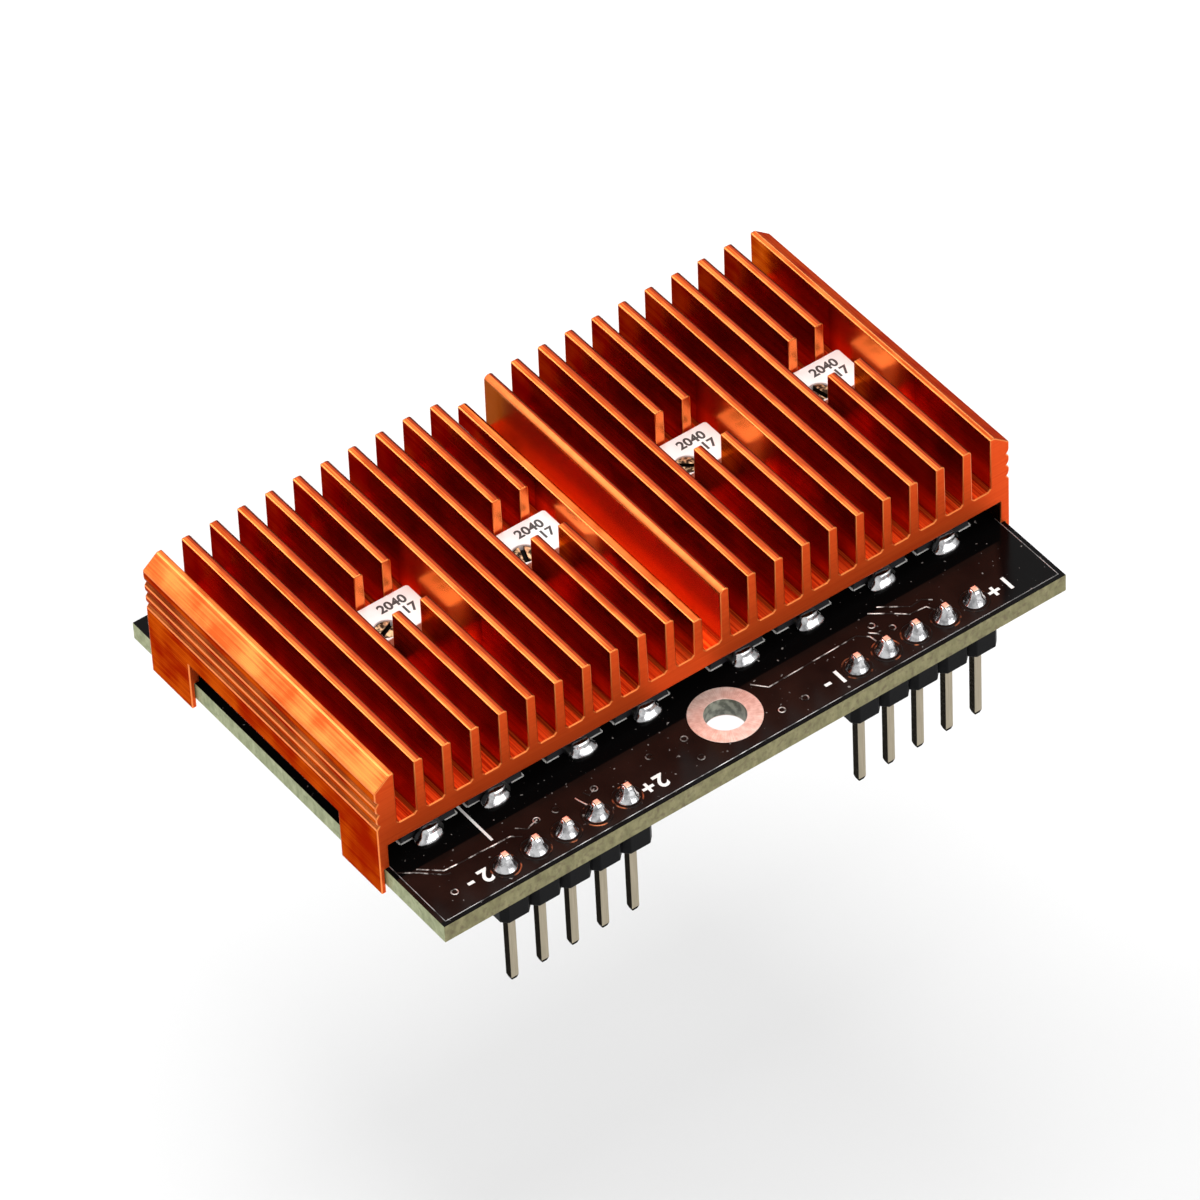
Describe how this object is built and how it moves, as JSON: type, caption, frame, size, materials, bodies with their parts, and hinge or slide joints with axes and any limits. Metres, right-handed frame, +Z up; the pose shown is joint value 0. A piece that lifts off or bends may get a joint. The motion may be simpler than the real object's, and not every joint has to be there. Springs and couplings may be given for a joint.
{
  "type": "headphone amplifier module",
  "caption": "Plug-in headphone amplifier circuit module with an orange finned heatsink, milled trimmer pockets, pin headers and a mounting hole",
  "frame": {"origin": "centre of the mounting hole on the board's top face", "axes": "+X along the pin rows to the right, +Y from the pins to the heatsink's back, +Z up out of the board's component side"},
  "size_m": [0.0536, 0.0364, 0.0193],
  "materials": {
    "solder_mask_board": "black solder mask",
    "bare_copper": "bare copper, lightly scratched",
    "header_plastic": "moulded, matt",
    "header_pin": "tin plated",
    "solder": "bright solder",
    "anodised_aluminium": "orange anodised, satin, sawn ends",
    "tinned_lead": "tin plated",
    "package_plastic": "moulded, matt",
    "thermal_pad": "soft, matt",
    "trimmer_plastic": "pale grey, smooth",
    "trimmer_brass": "darkened brass",
    "resistor_chip": "glazed chip",
    "capacitor_chip": "fired ceramic"
  },
  "bodies": {
    "module": {"capacitors_left": "capacitor_chip", "capacitors_right": "capacitor_chip", "circuit_board": "solder_mask_board", "driver_transistors_left": "package_plastic", "driver_transistors_right": "package_plastic", "header_body_left": "header_plastic", "header_body_right": "header_plastic", "header_pin_left_1": "header_pin", "header_pin_left_2": "header_pin", "header_pin_left_3": "header_pin", "header_pin_left_4": "header_pin", "header_pin_left_5": "header_pin", "header_pin_right_1": "header_pin", "header_pin_right_2": "header_pin", "header_pin_right_3": "header_pin", "header_pin_right_4": "header_pin", "header_pin_right_5": "header_pin", "heatsink": "anodised_aluminium", "mounting_pad_bottom": "bare_copper", "mounting_pad_top": "bare_copper", "pin_solder_left": "solder", "pin_solder_right": "solder", "resistors_left": "resistor_chip", "resistors_right": "resistor_chip", "tab_solder": "solder", "thermal_pad_left": "thermal_pad", "thermal_pad_right": "thermal_pad", "transistor_body_1": "package_plastic", "transistor_body_2": "package_plastic", "transistor_body_3": "package_plastic", "transistor_body_4": "package_plastic", "transistor_body_5": "package_plastic", "transistor_body_6": "package_plastic", "transistor_body_7": "package_plastic", "transistor_body_8": "package_plastic", "transistor_leadframe_1": "tinned_lead", "transistor_leadframe_2": "tinned_lead", "transistor_leadframe_3": "tinned_lead", "transistor_leadframe_4": "tinned_lead", "transistor_leadframe_5": "tinned_lead", "transistor_leadframe_6": "tinned_lead", "transistor_leadframe_7": "tinned_lead", "transistor_leadframe_8": "tinned_lead", "trimmer_housing_1": "trimmer_plastic", "trimmer_housing_2": "trimmer_plastic", "trimmer_housing_3": "trimmer_plastic", "trimmer_housing_4": "trimmer_plastic", "trimmer_terminals_1": "tinned_lead", "trimmer_terminals_2": "tinned_lead", "trimmer_terminals_3": "tinned_lead", "trimmer_terminals_4": "tinned_lead"},
    "trimmer_screw_1_body": {"trimmer_screw_1": "trimmer_brass"},
    "trimmer_screw_2_body": {"trimmer_screw_2": "trimmer_brass"},
    "trimmer_screw_3_body": {"trimmer_screw_3": "trimmer_brass"},
    "trimmer_screw_4_body": {"trimmer_screw_4": "trimmer_brass"}
  },
  "joints": [
    {"name": "trimmer_screw_1_turn", "type": "hinge", "parent": "module", "child": "trimmer_screw_1_body", "pos_m": [-0.01602, 0.0165, 0.00537], "axis": [0, 0, 1], "continuous": true},
    {"name": "trimmer_screw_2_turn", "type": "hinge", "parent": "module", "child": "trimmer_screw_2_body", "pos_m": [-0.00447, 0.0165, 0.00537], "axis": [0, 0, 1], "continuous": true},
    {"name": "trimmer_screw_3_turn", "type": "hinge", "parent": "module", "child": "trimmer_screw_3_body", "pos_m": [0.0094, 0.0165, 0.00537], "axis": [0, 0, 1], "continuous": true},
    {"name": "trimmer_screw_4_turn", "type": "hinge", "parent": "module", "child": "trimmer_screw_4_body", "pos_m": [0.02094, 0.0165, 0.00537], "axis": [0, 0, 1], "continuous": true}
  ]
}
